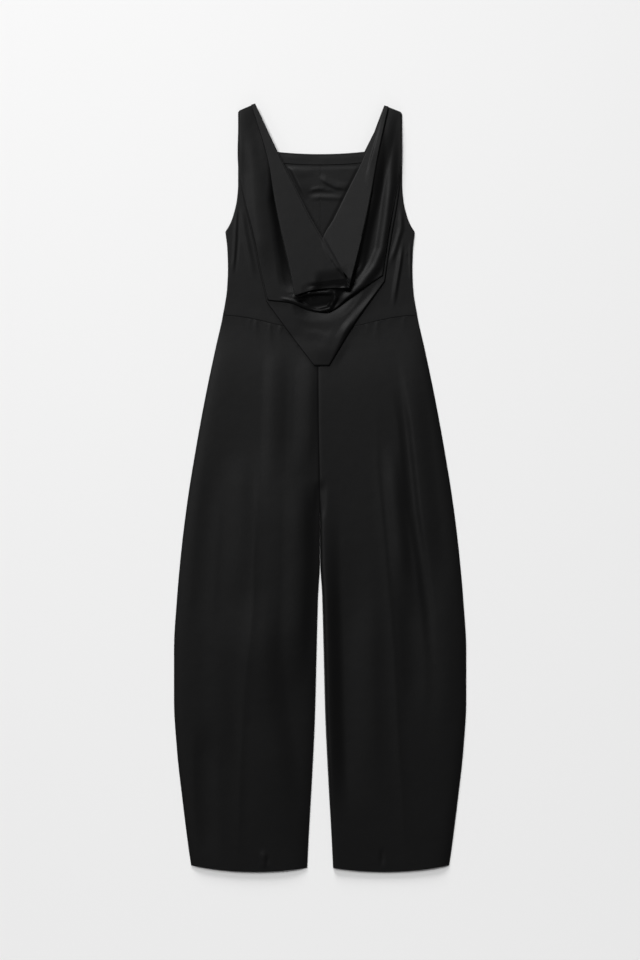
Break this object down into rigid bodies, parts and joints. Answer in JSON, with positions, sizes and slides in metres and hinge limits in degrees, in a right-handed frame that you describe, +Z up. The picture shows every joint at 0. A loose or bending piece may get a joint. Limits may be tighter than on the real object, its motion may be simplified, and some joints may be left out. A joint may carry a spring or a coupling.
{
  "type": "jumpsuit",
  "caption": "Sleeveless jumpsuit laid flat, with wide straps, a square back neckline, a deep draped cowl front that falls in a pointed drop, and full barrel legs.",
  "frame": {"origin": "on the surface that the garment lies on, under the middle of its bounding box", "axes": "+Y from the hems to the shoulders, +Z up from the surface, +X to the viewer's right as the front is seen, which is the wearer's left"},
  "size_m": [0.54, 1.419, 0.0315],
  "materials": {
    "cloth": "black, fine plain weave with a soft sheen",
    "facing": "the same black cloth, pressed flat inside the neckline"
  },
  "bodies": {
    "root": {"back_bodice_left": "cloth", "back_bodice_right": "cloth", "back_neck_facing": "facing", "back_leg_left": "cloth", "back_leg_right": "cloth", "front_leg_left": "cloth", "front_leg_right": "cloth", "front_bodice": "cloth"}
  },
  "joints": []
}
